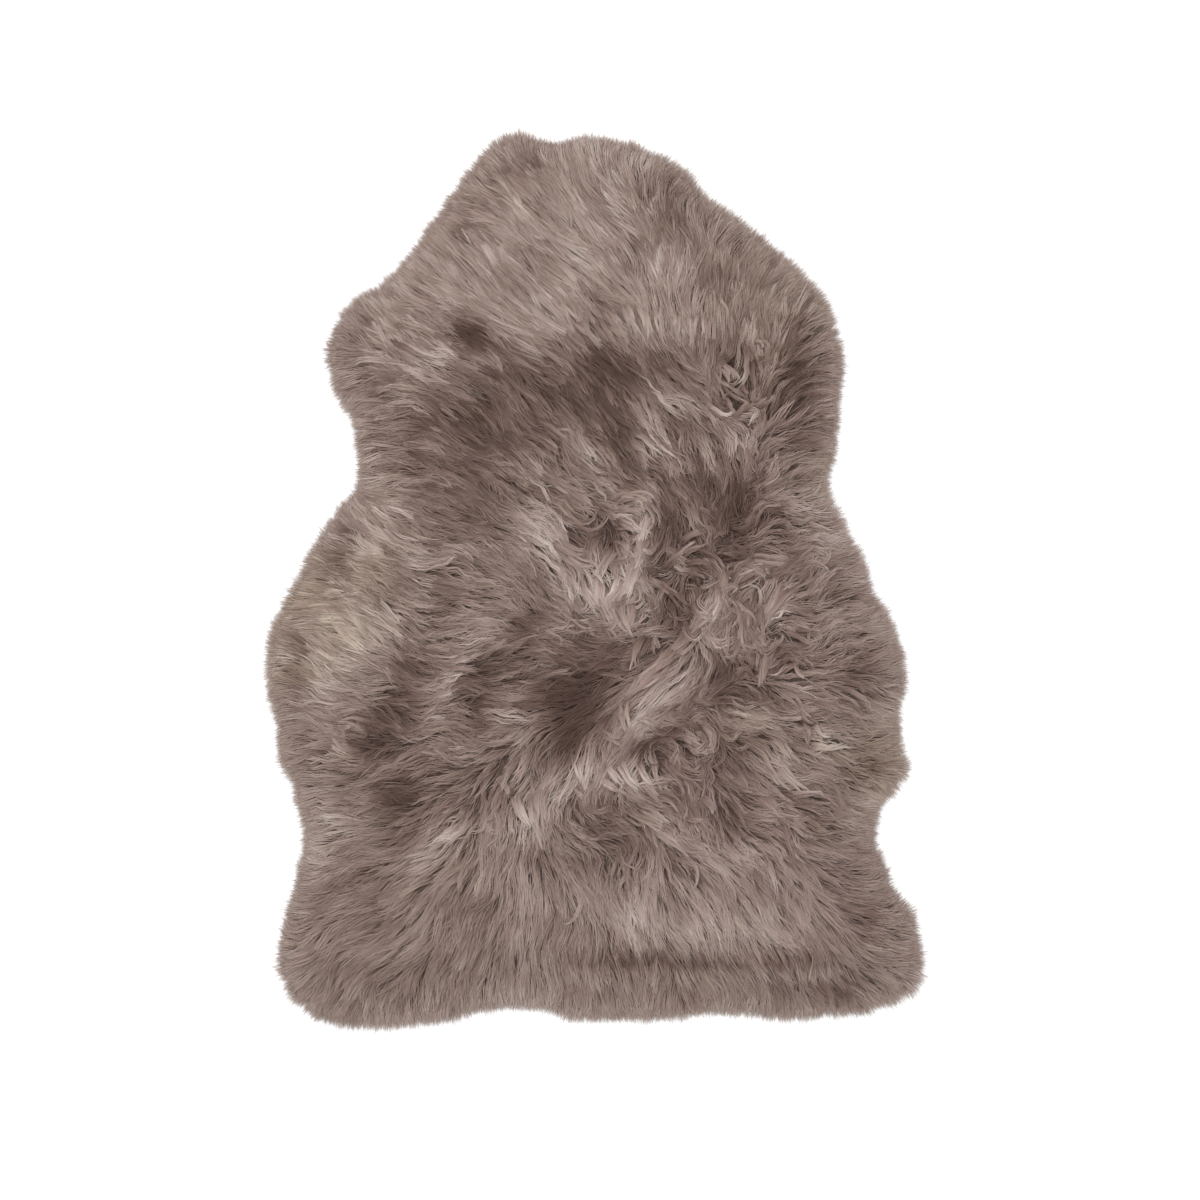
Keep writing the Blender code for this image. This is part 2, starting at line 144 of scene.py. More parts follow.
# Painted light and shade in the wool's colour: shade in hollows where it parts or stands end on, partly its
# darker inner wool, and light on crowns.
PAINTED_LIGHT_AND_SHADE = (
    # x_mm, y_mm, half_length_mm, half_width_mm, heading_deg, lighter (levels of 255)
    (70, 385, 22, 22, 0, -21), (75, 345, 20, 17, 90, -16), (125, 300, 17, 17, 0, -14),
    (138, 255, 26, 9, 90, -12), (138, 225, 14, 12, 0, -18), (-118, 241, 21, 15, 160, -74),
    (15, 211, 27, 19, 170, -32), (-60, 176, 130, 52, 8, -15), (-110, 136, 44, 20, 20, -18),
    (-130, 162, 16, 16, 0, -8), (-180, 145, 18, 18, 0, -14), (-22, 176, 44, 14, 138, -16),
    (22, 150, 36, 15, 108, -24), (36, 106, 20, 15, 110, -24), (-110, 90, 60, 38, 0, -13),
    (208, 205, 24, 24, 0, -34), (206, 245, 22, 14, 90, -15), (205, 140, 28, 20, 90, -18),
    (160, 190, 13, 11, 30, -16), (146, 173, 9, 7, 60, -12), (118, 163, 13, 11, 20, -20),
    (82, 150, 12, 11, 90, -22), (90, 200, 40, 16, 0, -10), (142, 72, 36, 27, 75, -44),
    (108, 92, 20, 15, 0, -18), (75, 44, 24, 14, 65, -38), (64, 12, 14, 12, 70, -16),
    (80, 86, 20, 16, 90, -14), (4, 62, 15, 11, 0, -26), (22, 45, 12, 10, 120, -20),
    (-13, 37, 13, 10, 150, -24), (-112, 62, 30, 26, 90, -12), (-150, 36, 11, 10, 90, -10),
    (-213, 196, 15, 11, 10, -9), (-236, 220, 17, 9, 140, -8), (-70, 421, 28, 13, 30, -12),
    (-30, 150, 60, 40, 130, -5), (-55, 203, 56, 9, 8, -9), (75, 222, 56, 9, 0, -10),
    (-55, 240, 50, 11, 12, 6), (170, -370, 80, 40, 0, 3), (-20, 338, 22, 8, 135, -8),
    (-60, 326, 20, 6, 150, -5), (28, 275, 26, 11, 70, -8), (198, 22, 30, 15, 120, -10),
    (122, 22, 26, 14, 45, -16), (145, 5, 17, 9, 90, -14), (-262, 30, 32, 15, 65, -14),
    (-200, 14, 13, 10, 0, -6), (-20, -114, 34, 27, 110, -46), (-50, -125, 18, 16, 0, -24),
    (-28, -160, 26, 17, 65, -44), (15, -86, 24, 18, 80, -20), (-6, -62, 22, 14, 150, -16),
    (-66, -46, 28, 12, 80, -34), (-100, -96, 30, 26, 60, -22), (-118, -136, 22, 14, 60, -26),
    (-204, -142, 36, 19, 60, -37), (-226, -165, 16, 14, 0, -22), (-176, -88, 24, 20, 60, -26),
    (-200, -214, 26, 23, 60, -40), (-200, -262, 17, 13, 0, -20), (-232, -310, 24, 22, 60, -18),
    (-146, -24, 20, 12, 60, -20), (90, -30, 42, 14, 62, -30), (62, -28, 20, 12, 90, -14),
    (128, -120, 18, 15, 60, -32), (148, -92, 22, 13, 20, -22), (120, -96, 14, 12, 0, -14),
    (174, -120, 25, 8, 160, -20), (201, -72, 20, 16, 0, -26), (170, -55, 14, 8, 0, -12),
    (213, -32, 20, 8, 60, -14), (75, -156, 28, 12, 32, -32), (48, -171, 16, 8, 10, -22),
    (134, -188, 26, 14, 80, -24), (90, -206, 24, 19, 30, -20), (140, -234, 22, 14, 50, -16),
    (-110, -226, 11, 9, 120, -14), (-100, -190, 10, 8, 0, -10), (20, -236, 34, 20, 160, -12),
    (45, -270, 15, 12, 0, -18), (80, -286, 18, 9, 150, -18), (-8, -290, 24, 12, 0, -18),
    (-50, -280, 14, 11, 0, -12), (-120, -331, 24, 10, 170, -12), (28, -382, 56, 7, 0, -48),
    (150, -386, 84, 4, 0, -44), (120, -384, 14, 6, 0, -14), (60, -371, 90, 5, 0, 8),
    (216, -378, 18, 8, 0, -26), (254, -410, 22, 15, 20, -26), (180, -395, 90, 5, 0, 12),
    (190, -412, 50, 9, 0, -8), (95, -422, 22, 11, 0, -16), (206, -420, 30, 9, 0, -12),
    (275, -340, 20, 13, 50, -20), (260, -290, 18, 14, 60, -16), (235, -306, 14, 9, 60, -10),
    (-210, -370, 90, 50, 0, -6), (210, -284, 22, 8, 170, -10), (270, -92, 30, 12, 80, -14),
    (230, -88, 14, 9, 0, -6), (205, -160, 13, 10, 0, -12), (280, -170, 13, 8, 150, -14),
    (216, -198, 13, 8, 0, -8), (-252, -205, 14, 10, 60, -8), (0, 370, 60, 52, 0, 12),
    (-110, 325, 60, 50, 30, 5), (-140, 362, 40, 22, 55, -9), (-262, -56, 54, 30, 70, 4),
    (76, 254, 54, 14, 0, 20), (-8, 312, 26, 12, 140, 16), (-36, 270, 32, 20, 0, 18),
    (76, 305, 24, 20, 0, 16), (45, 285, 14, 20, 90, 10), (-158, 221, 30, 13, 25, 22),
    (-192, 185, 28, 9, 60, 18), (-222, 88, 52, 16, 82, 4), (-225, 44, 24, 18, 20, 18),
    (-8, 134, 24, 10, 122, 24), (-58, 118, 30, 8, 125, 8), (64, 130, 16, 12, 90, 16),
    (80, 174, 24, 12, 20, 12), (130, 212, 26, 12, 0, 8), (150, 130, 30, 24, 90, 10),
    (208, 76, 18, 14, 0, 14), (236, 36, 32, 12, 60, 14), (-46, 46, 34, 20, 125, 28),
    (47, 40, 34, 9, 80, 24), (-175, 20, 17, 14, 0, 22), (-140, 20, 12, 10, 0, 12), (14, 90, 30, 8, 128, 8),
    (-236, -72, 34, 16, 100, 30), (-196, -40, 24, 18, 0, 18), (-262, -106, 20, 10, 0, 22),
    (16, -12, 44, 17, 8, 32), (25, -44, 16, 10, 0, 16), (-130, -78, 50, 11, 62, 18),
    (112, -42, 40, 11, 78, 24), (66, -114, 46, 13, 52, 22), (40, -150, 13, 11, 0, 18),
    (36, -199, 40, 12, 0, 34), (-14, -189, 17, 11, 50, 26), (-70, -241, 30, 14, 30, 22),
    (-36, -216, 22, 12, 50, 16), (-156, -263, 22, 12, 45, 24), (-60, -262, 15, 12, 0, 14),
    (150, -133, 22, 9, 170, 20), (165, -78, 20, 8, 90, 14), (193, -190, 18, 14, 90, 18),
    (236, -162, 18, 17, 90, 26), (-276, -266, 40, 13, 85, 14), (34, -336, 22, 13, 30, 24),
    (42, -364, 15, 11, 90, 20), (100, -350, 50, 18, 0, 16), (166, -340, 17, 13, 90, 20),
    (190, -364, 22, 12, 0, 12), (145, -280, 30, 16, 0, 14), (76, -250, 26, 10, 125, 16),
    (112, -155, 13, 11, 0, 8), (246, -48, 20, 13, 0, 14), (-70, -388, 30, 28, 0, 8),
    (285, -215, 26, 14, 60, 10), (-205, 75, 34, 12, 62, 12), (-240, 10, 40, 13, 62, 9),
    (-270, -75, 52, 13, 85, 18), (137, 205, 16, 12, 0, 12), (178, -22, 46, 13, 122, 15),
    (-180, 92, 60, 36, 0, -4), (92, -147, 20, 11, 45, 18),
)
painted_light_and_shade = np.zeros(plan_x.shape)
for x, y, half_length, half_width, heading, lighter in PAINTED_LIGHT_AND_SHADE:
    turn = math.radians(heading)
    aside_x, aside_y = plan_x - x / 1000, plan_y - y / 1000
    along = (aside_x * math.cos(turn) + aside_y * math.sin(turn)) * 1000 / half_length
    across = (aside_y * math.cos(turn) - aside_x * math.sin(turn)) * 1000 / half_width
    painted_light_and_shade += lighter * np.exp(-(along**2 + across**2))

# The wool's top: the solid's, sunk in the dark hollows and raised on the light crowns, down to the floor
# at the rim.
HOLLOW_DEPTH = 0.00012
HOLLOWS_FROM = 0.06
LOCKS_REACH_IN = 0.034
RIM_HEIGHT = 0.002
RIM_SLOPE = 0.62
wool_top = np.where(to_rim > LOCKS_REACH_IN, solid_top, soften(widen(solid_top, 2), 2))
wool_top = soften(wool_top, 12) + HOLLOW_DEPTH * soften(painted_light_and_shade, 2) * np.clip(to_rim / HOLLOWS_FROM, 0.0, 1.0)
wool_top = np.minimum(wool_top, RIM_HEIGHT + RIM_SLOPE * np.clip(to_rim, 0.0, 1.0))
slope_y, slope_x = np.gradient(soften(wool_top, 3), CELL)

# ------------------------------------------------------------------ the skin
# The tanned skin under the wool, 2.5 mm thick and suede-like below. It is cut well inside the reach of
# the wool, so it shows only from below.
SKIN_THICKNESS = 0.0025
SKIN_SETBACK = 0.042
skin_mesh = bpy.data.meshes.new("skin")
shape = bmesh.new()
bmesh.ops.create_circle(shape, cap_ends=True, segments=240, radius=0.1)
for vert in shape.verts:
    bearing = Vector((vert.co.x, vert.co.y, 0.0)).normalized()
    reaches = np.arange(0.10, 0.46, 0.001)
    places = np.column_stack([reaches * bearing.x, reaches * bearing.y])
    inside = at(to_rim, places) > SKIN_SETBACK
    vert.co = bearing * float(reaches[np.argmin(inside)] if not inside.all() else reaches[-1])
bmesh.ops.inset_region(shape, faces=shape.faces[:], thickness=0.0015)
raised = bmesh.ops.extrude_face_region(shape, geom=shape.faces[:])
upper = [v for v in raised["geom"] if isinstance(v, bmesh.types.BMVert)]
bmesh.ops.translate(shape, verts=upper, vec=(0, 0, SKIN_THICKNESS))
bmesh.ops.triangulate(shape, faces=shape.faces[:])
bmesh.ops.recalc_face_normals(shape, faces=shape.faces[:])
shape.to_mesh(skin_mesh)
skin_area = sum(face.calc_area() for face in shape.faces if face.normal.z > 0.5)
shape.free()
skin = bpy.data.objects.new("skin", skin_mesh)
bpy.context.scene.collection.objects.link(skin)


def colour_ramp(nodes, stops):
    """A ramp node through these stops, each a place from 0 to 1 and a linear colour."""
    ramp = nodes.new("ShaderNodeValToRGB")
    while len(ramp.color_ramp.elements) < len(stops):
        ramp.color_ramp.elements.new(1.0)
    for element, (position, colour) in zip(ramp.color_ramp.elements, stops):
        element.position = position
        element.color = (*colour, 1.0)
    return ramp


tanned = bpy.data.materials.new("tanned_skin")
tanned.use_nodes = True
nodes, links = tanned.node_tree.nodes, tanned.node_tree.links
suede = nodes["Principled BSDF"]
suede.inputs["Roughness"].default_value = 0.85
suede.inputs["Sheen Weight"].default_value = 0.2
place = nodes.new("ShaderNodeTexCoord")
nap = nodes.new("ShaderNodeTexNoise")
nap.inputs["Scale"].default_value = 14.0
nap.inputs["Detail"].default_value = 8.0
nap.inputs["Roughness"].default_value = 0.65
links.new(place.outputs["Object"], nap.inputs["Vector"])
hide = colour_ramp(nodes, ((0.3, (0.46, 0.36, 0.27)), (0.7, (0.66, 0.56, 0.45))))
links.new(nap.outputs["Fac"], hide.inputs["Fac"])
links.new(hide.outputs["Color"], suede.inputs["Base Color"])
grain = nodes.new("ShaderNodeTexNoise")
grain.inputs["Scale"].default_value = 900.0
grain.inputs["Detail"].default_value = 4.0
links.new(place.outputs["Object"], grain.inputs["Vector"])
nubs = nodes.new("ShaderNodeBump")
nubs.inputs["Strength"].default_value = 0.35
nubs.inputs["Distance"].default_value = 0.0004
links.new(grain.outputs["Fac"], nubs.inputs["Height"])
links.new(nubs.outputs["Normal"], suede.inputs["Normal"])
skin_mesh.materials.append(tanned)
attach(skin, "root")

# ------------------------------------------------------------------ the underwool
# The short dense wool between the locks: the pelt's lumpy form a little lower, with its colour painted dark
# as painted shade from the wool above it. It grows from the skin and takes the plain solid's place.
UNDERWOOL_DROP = 0.0075
UNDERWOOL_SETBACK = 0.013
LEAST_THICKNESS = 0.001
underwool_mesh = bpy.data.meshes.new("underwool")
shape = bmesh.new()
bmesh.ops.create_grid(shape, x_segments=84, y_segments=112, size=0.5)
bmesh.ops.scale(shape, verts=shape.verts, vec=(0.70, 0.93, 1.0))
places = np.array([vert.co[:] for vert in shape.verts])
outside = at(to_rim, places) < UNDERWOOL_SETBACK
bmesh.ops.delete(shape, geom=[vert for vert, out in zip(shape.verts[:], outside) if out], context="VERTS")
bmesh.ops.translate(shape, verts=shape.verts, vec=(0, 0, SKIN_THICKNESS))
raised = bmesh.ops.extrude_face_region(shape, geom=shape.faces[:])
upper = [v for v in raised["geom"] if isinstance(v, bmesh.types.BMVert)]
heights = at(wool_top, np.array([vert.co[:] for vert in upper])) - UNDERWOOL_DROP
for vert, height in zip(upper, heights):
    vert.co.z = max(float(height), SKIN_THICKNESS + LEAST_THICKNESS)
bmesh.ops.recalc_face_normals(shape, faces=shape.faces[:])
shape.to_mesh(underwool_mesh)
shape.free()
underwool_mesh.shade_smooth()
underwool = bpy.data.objects.new("underwool", underwool_mesh)
bpy.context.scene.collection.objects.link(underwool)

down = bpy.data.materials.new("underwool")
down.use_nodes = True
nodes, links = down.node_tree.nodes, down.node_tree.links
dense = nodes["Principled BSDF"]
dense.inputs["Roughness"].default_value = 0.95
place = nodes.new("ShaderNodeTexCoord")
flecks = nodes.new("ShaderNodeTexNoise")
flecks.inputs["Scale"].default_value = 420.0
flecks.inputs["Detail"].default_value = 3.0
links.new(place.outputs["Object"], flecks.inputs["Vector"])
# A dark colour: painted shade under the wool above.
painted_shade_ramp = colour_ramp(nodes, ((0.3, (0.076, 0.051, 0.042)), (0.75, (0.190, 0.137, 0.114))))
links.new(flecks.outputs["Fac"], painted_shade_ramp.inputs["Fac"])
links.new(painted_shade_ramp.outputs["Color"], dense.inputs["Base Color"])
underwool_mesh.materials.append(down)
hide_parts("sheepskin")
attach(underwool, "root")

# ------------------------------------------------------------------ how the wool is combed
# The pelt's own wool grows from the skin and lies as the tanner's comb left it, in the directions that
# show from above. It turns outward at the rim, swirls a little everywhere, and curls in some places.
COMBED = (
    # place, x_mm, y_mm, heading_deg of the tips
    ("neck, left", -110, 360, 312), ("neck", 0, 380, 310), ("neck, right", 80, 380, 292),
    ("left shoulder, high", -170, 290, 330), ("left shoulder", -230, 240, 328),
    ("left shoulder, low", -235, 180, 0), ("upper back, left", -110, 260, 330),
    ("upper back", -20, 290, 315), ("upper back, right", 70, 290, 275),
    ("right shoulder, high", 130, 300, 265), ("right shoulder", 190, 260, 252),
    ("over the ledge, left", -60, 240, 316), ("over the ledge", 10, 240, 304),
    ("over the ledge, right", 100, 240, 290), ("right shoulder rim", 255, 210, 5),
    ("below the ledge, left", -110, 180, 318), ("below the ledge", 0, 190, 310),
    ("below the ledge, right", 80, 180, 304), ("right breast, inner", 130, 180, 320),
    ("right breast", 190, 170, 45), ("right breast, low", 195, 110, 22),
    ("left flank, high", -230, 110, 356), ("left flank", -160, 110, 345),
    ("left flank, low", -160, 50, 338), ("back, left", -100, 110, 330), ("back", -50, 110, 306),
    ("back, right", 20, 110, 318), ("back, far right", 75, 110, 312), ("above the pit", 125, 120, 278),
    ("spine", -50, 40, 314), ("left waist", -230, 50, 348), ("right waist", 210, 40, 345),
    ("left hip, high", -230, 0, 344), ("left loin", -120, 0, 0), ("left loin, inner", -60, 5, 320),
    ("curls, top", 0, 50, 320), ("curls, middle", 60, 20, 250), ("curls, right", 100, -20, 200),
    ("right loin", 180, 0, 10), ("right loin, low", 150, -50, 275), ("left hip", -230, -60, 326),
    ("left hip rim", -300, -70, 170), ("left loin, low", -110, -70, 10), ("loin", -50, -60, 325),
    ("light sweep, high", 100, -70, 232), ("light sweep, low", 45, -120, 216),
    ("right hip, high", 250, -60, 10), ("right hip", 250, -120, 0), ("belly, right", 180, -110, 355),
    ("above the parting, left", -230, -130, 345), ("above the parting", -150, -140, 350),
    ("dark pit", -30, -120, 190), ("below the pit", 0, -170, 250), ("left of the parting", -290, -180, 180),
    ("below the parting, left", -230, -190, 187), ("below the parting", -160, -190, 202),
    ("below the parting, inner", -80, -185, 222), ("right belly", 130, -180, 322),
    ("right belly, outer", 190, -180, 318), ("right hip, low", 250, -180, 345),
    ("left haunch", -250, -250, 192), ("haunch", -170, -250, 209), ("haunch, inner", -110, -240, 248),
    ("tail root, left", -50, -240, 288), ("tail root", 10, -250, 280), ("tail root, right", 70, -240, 330),
    ("right haunch", 130, -240, 335), ("right haunch, outer", 200, -240, 341),
    ("left thigh", -260, -300, 202), ("thigh", -170, -300, 209), ("thigh, inner", -110, -300, 258),
    ("tail", -50, -300, 274), ("tail, right", 30, -300, 272), ("tail, far right", 80, -300, 286),
    ("right thigh", 135, -300, 306), ("right thigh, outer", 195, -300, 310), ("right rump", 255, -300, 338),
    ("left corner", -285, -360, 216), ("left rump", -200, -360, 216), ("left rump, inner", -120, -360, 245),
    ("tail, low", -50, -360, 279), ("tail, low right", 20, -360, 275), ("right of the tail", 80, -360, 288),
    ("right rump, low", 150, -360, 283), ("right rump, outer", 225, -360, 298),
    ("right corner", 305, -360, 346), ("left hem", -260, -420, 248), ("hem", -120, -420, 255),
    ("hem, middle", -30, -425, 270), ("hem, right", 80, -420, 272), ("hem, far right", 190, -420, 278),
    ("right hem corner", 270, -410, 318),
)
COMB_BLEND = 0.032
TURNS_OUT_FROM = 0.008
TURNS_OUT_OVER = 0.055
rng = np.random.default_rng(7)
# The lie of the wool blends as twice its heading, so that wool combed opposite ways lies along one line.
# The heading itself only tells which way along that line the tips point.
twice_x, twice_y, once_x, once_y = (np.zeros(plan_x.shape) for _ in range(4))
for _, x, y, heading in COMBED:
    pull = np.exp(-0.5 * ((plan_x - x / 1000) ** 2 + (plan_y - y / 1000) ** 2) / COMB_BLEND**2)
    turn = math.radians(heading)
    twice_x += pull * math.cos(2 * turn)
    twice_y += pull * math.sin(2 * turn)
    once_x += pull * math.cos(turn)
    once_y += pull * math.sin(turn)
outward = np.clip(1.0 - (to_rim - TURNS_OUT_FROM) / TURNS_OUT_OVER, 0.0, 1.0) ** 2
length = np.hypot(twice_x, twice_y) + 1e-12
twice_x = twice_x / length * (1 - outward) + outward * (away_x**2 - away_y**2)
twice_y = twice_y / length * (1 - outward) + outward * 2 * away_x * away_y


def cloudy(cell_count):
    """Soft noise about this many cells across, of spread 1."""
    field = soften(rng.normal(size=plan_x.shape), cell_count * cell_count)
    return field / field.std()


def fade(x, y, radius, steepness=1.0):
    """1 at the middle of a round place, falling off softly past its radius, all in mm."""
    spread = ((plan_x - x / 1000) ** 2 + (plan_y - y / 1000) ** 2) / (radius / 1000) ** 2
    return np.exp(-(spread**steepness))


def strongest(spots, steepness=1.0):
    """How strongly the wool is touched by the strongest of these places at each cell."""
    field = np.zeros(plan_x.shape)
    for x, y, radius, strength in spots:
        field = np.maximum(field, strength * fade(x, y, radius, steepness))
    return field


# A faint mottling of the colour, a swirl and a ripple in the lie, each from its own soft noise.
mottle = 0.018 * cloudy(3)
CURLED = (
    # x_mm, y_mm, radius_mm, how strongly it curls
    (0, 50, 30, 1.0), (60, 20, 42, 0.9), (105, 10, 36, 1.0), (145, 200, 32, 1.0), (90, -45, 32, 0.8),
    (150, -40, 34, 0.6), (100, -165, 34, 0.9), (55, -60, 26, 0.8), (190, -60, 34, 0.4), (10, -250, 40, 0.4),
    (-20, -20, 26, 0.6), (130, -240, 40, 0.4), (-110, -215, 26, 0.4), (165, 60, 30, 0.5),
    (300, -100, 20, 0.3),
)
curling = strongest(CURLED)
TOUSLED = (
    # x_mm, y_mm, radius_mm, how strongly the wool is ruffled, without curls
    (0, -230, 50, 0.8), (90, -215, 60, 0.9), (170, -215, 50, 0.9), (-70, -210, 45, 0.6), (190, 0, 60, 0.9),
    (190, -110, 50, 0.9), (160, 70, 40, 0.8), (-60, -60, 50, 0.5), (-190, -150, 60, 0.7),
    (100, 130, 60, 0.6), (-160, 60, 60, 0.4), (240, -60, 40, 0.5), (-60, 130, 60, 0.4),
)
tousling = strongest(TOUSLED)
swirl = np.radians(8.0 + 44.0 * curling + 16.0 * tousling) * cloudy(4)
ripple = cloudy(3)
SLEEK = (
    # x_mm, y_mm, radius_mm, how smoothly it lies
    (0, 370, 105, 1.0), (-120, 300, 95, 1.0), (70, 290, 75, 0.9), (150, 290, 70, 0.7), (-60, 190, 70, 0.3),
    (-220, 200, 60, 0.7), (-190, 90, 90, 0.6), (-40, -340, 105, 1.0), (90, -340, 100, 1.0),
    (-200, -330, 105, 0.9), (230, -320, 90, 0.8), (-260, -60, 60, 0.8), (230, 150, 60, 0.6),
    (45, -115, 50, 0.8), (-170, -240, 80, 0.6), (150, -260, 70, 0.5),
)
SLEEK_RIM = 0.045
sleekness = np.maximum(strongest(SLEEK, 1.5), np.exp(-((to_rim / SLEEK_RIM) ** 2)))
sleekness = np.clip(sleekness - 1.2 * curling - 0.5 * tousling, 0.0, 1.0)
TUFTS = (
    # x_mm, y_mm at the rim, radius_mm, how much further the wool reaches there in mm
    (-74, 446, 16, 4), (-109, 431, 22, 2), (-161, 357, 30, 2), (-38, 441, 20, -8), (88, 413, 18, 5),
    (150, 350, 24, 2), (211, 302, 20, 6), (233, 263, 26, 4), (243, 70, 20, 5), (266, 23, 28, 4),
    (293, -35, 26, 4), (310, -94, 30, 2), (309, -188, 20, 7), (284, -264, 22, -7), (299, -305, 22, -8),
    (316, -410, 24, 7), (91, -437, 34, 4), (-40, -432, 30, 2), (-173, -443, 36, 4), (-299, -419, 22, 4),
    (-317, -358, 26, -6), (-302, -305, 26, -9), (-293, -258, 24, -6), (-308, -188, 22, 4),
    (-321, -135, 20, -5), (-311, -29, 26, 3), (-290, 18, 24, 1), (-252, 182, 20, 4), (-240, 300, 24, 1),
)
tuft = np.full(plan_x.shape, 0.0022)
for x, y, radius, further in TUFTS:
    tuft += further / 1000 * fade(x, y, radius)

# ------------------------------------------------------------------ the colours of the wool
# Taupe wool, dark at its roots and light at its tips, yellowed on the hips and mauve in the middle.
# Each fibre has its place on a chart of two scales, kept as its UV: how light it is, painted light and shade
# included, and how tinged.
YELLOWED = (
    # x_mm, y_mm, radius_mm, how strongly
    (-285, -20, 46, 1.0), (-255, -50, 44, 1.0), (-225, 5, 36, 0.8), (-300, -80, 34, 0.8),
    (150, -150, 34, 0.8), (205, -172, 36, 0.8), (275, -190, 44, 1.0), (60, -230, 28, 0.6),
    (230, 105, 32, 0.9), (180, 290, 70, 0.35), (160, 215, 40, 0.4),
)
yellowing = strongest(YELLOWED)
MAUVE = (
    # x_mm, y_mm, radius_mm, how strongly
    (130, -190, 150, 1.0), (190, 90, 110, 1.0), (30, -90, 90, 0.8), (-150, -190, 60, 0.6),
    (240, -330, 90, 0.8),
)
mauving = strongest(MAUVE)
TAUPES = (
    # share of light, linear colour
    (0.00, (0.073, 0.040, 0.031)), (0.30, (0.162, 0.106, 0.087)), (0.60, (0.286, 0.212, 0.182)),
    (0.85, (0.408, 0.328, 0.292)), (1.00, (0.484, 0.408, 0.367)),
)
TINGES = (
    # share, how much of each colour is kept: mauve, the pelt's own taupe, yellowed
    (0.00, (0.980, 0.925, 0.950)), (0.35, (0.970, 0.970, 0.970)), (1.00, (0.970, 0.968, 0.860)),
)
ROOT_LIGHT = 0.21
TIP_LIGHT = 0.66
LIGHT_BY_PAINTED_SHADE = 0.0058
LIGHT_BY_PAINTED_SHADE_AT_TIP = 0.0077
CURL_PAINTED_HIGHLIGHT = 0.46
CURL_PAINTED_SHADE = 0.33
RIM_PAINTED_LIGHT = 0.10
RIM_PAINTED_LIGHT_BAND = 0.018
OWN_TINGE = 0.37
CHART_HALF_STEP = 0.004


def dye(points, along, tone, tinge, astray):
    """Each point's place on the chart, from how far along its fibre it is and where on the pelt it lies.
    Where the wool is well brushed, towards the tail, the dark roots show less."""
    smooth = at(sleekness, points)
    brushed = np.interp(points[..., 1], (-0.32, -0.18), (3.0, 2.0))
    along = np.clip(along, 0.0, 1.0)
    along = along * (1.0 - smooth) + (1.0 - (1.0 - along) ** brushed) * smooth
    light = ROOT_LIGHT + (TIP_LIGHT - 0.02 * smooth - ROOT_LIGHT) * along + tone[:, None] + at(mottle, points)
    near_tip = points[:, -3, None, :2] + astray[:, None]
    # Painted light and shade from the map of light and dark places, at the point and where its wisp's tip
    # shows.
    light = light + LIGHT_BY_PAINTED_SHADE * at(painted_light_and_shade, points) + LIGHT_BY_PAINTED_SHADE_AT_TIP * at(painted_light_and_shade, near_tip)
    # In the curls, painted shade deep down towards the roots and a painted highlight towards the tips.
    light = light + at(curling, points) * (CURL_PAINTED_HIGHLIGHT * along - CURL_PAINTED_SHADE) - 0.03 * smooth
    # Painted light near the rim, lightening the wool there.
    light = light + RIM_PAINTED_LIGHT * np.exp(-at(to_rim, points) / RIM_PAINTED_LIGHT_BAND)
    tinge = OWN_TINGE + tinge[:, None] + 0.44 * at(yellowing, points) - 0.20 * at(mauving, points)
    # The two sides of a fibre stand a step apart on the chart, so that its faces have a width there.
    aside = np.where(np.arange(points.shape[1]) % 2, -CHART_HALF_STEP, CHART_HALF_STEP)
    aside[-1] = 0.0
    return np.stack([np.clip(light, 0.01, 0.99), np.clip(tinge, 0.01, 0.99) + aside], axis=2)


wool_dye = bpy.data.materials.new("taupe_wool")
wool_dye.use_nodes = True
nodes, links = wool_dye.node_tree.nodes, wool_dye.node_tree.links
fibre = nodes["Principled BSDF"]
fibre.inputs["Roughness"].default_value = 0.60
fibre.inputs["Specular IOR Level"].default_value = 0.20
fibre.inputs["Sheen Weight"].default_value = 0.10
fibre.inputs["Sheen Roughness"].default_value = 0.40
chart = nodes.new("ShaderNodeUVMap")
chart.uv_map = "OFBake"
chart_place = nodes.new("ShaderNodeSeparateXYZ")
links.new(chart.outputs["UV"], chart_place.inputs["Vector"])
taupes = colour_ramp(nodes, TAUPES)
tinges = colour_ramp(nodes, TINGES)
links.new(chart_place.outputs["X"], taupes.inputs["Fac"])
links.new(chart_place.outputs["Y"], tinges.inputs["Fac"])
tinged = nodes.new("ShaderNodeMix")
tinged.data_type = "RGBA"
tinged.blend_type = "MULTIPLY"
tinged.inputs["Factor"].default_value = 1.0
links.new(taupes.outputs["Color"], tinged.inputs[6])
links.new(tinges.outputs["Color"], tinged.inputs[7])
links.new(tinged.outputs[2], fibre.inputs["Base Color"])

# ------------------------------------------------------------------ the wisps
# Wisps of fine flat wool fibres, about eight wisps to a lock, grow from the skin up to the wool's top
# and lie along with the comb. They draw together towards their tips and hook over where the wool curls.
ROOT_DEPTH = 0.011
ROOT_SHARE = 0.36
HOOK_FROM = 0.25
WAVES = 13.0
TIP_CROWDING = 1.4
ROUNDNESS = 0.35
COAT_SHARE = 0.5


def scatter(pitch, least_in, most_in=1.0):
    """Places a pitch apart in staggered rows, each a little off its row, so far in from the rim."""
    rows = np.arange(-GRID_HALF_LENGTH, GRID_HALF_LENGTH, pitch * math.sqrt(0.75))
    columns = np.arange(-GRID_HALF_WIDTH, GRID_HALF_WIDTH, pitch)
    places = np.array([(x + 0.5 * pitch * (row % 2), y) for row, y in enumerate(rows) for x in columns])
    places += rng.uniform(-0.42, 0.42, places.shape) * pitch
    inward = at(to_rim, places)
    return places[(inward > least_in) & (inward < most_in)]


def off_pelt(places):
    """The way out over the rim at each place."""
    return np.column_stack([at(away_x, places), at(away_y, places)])


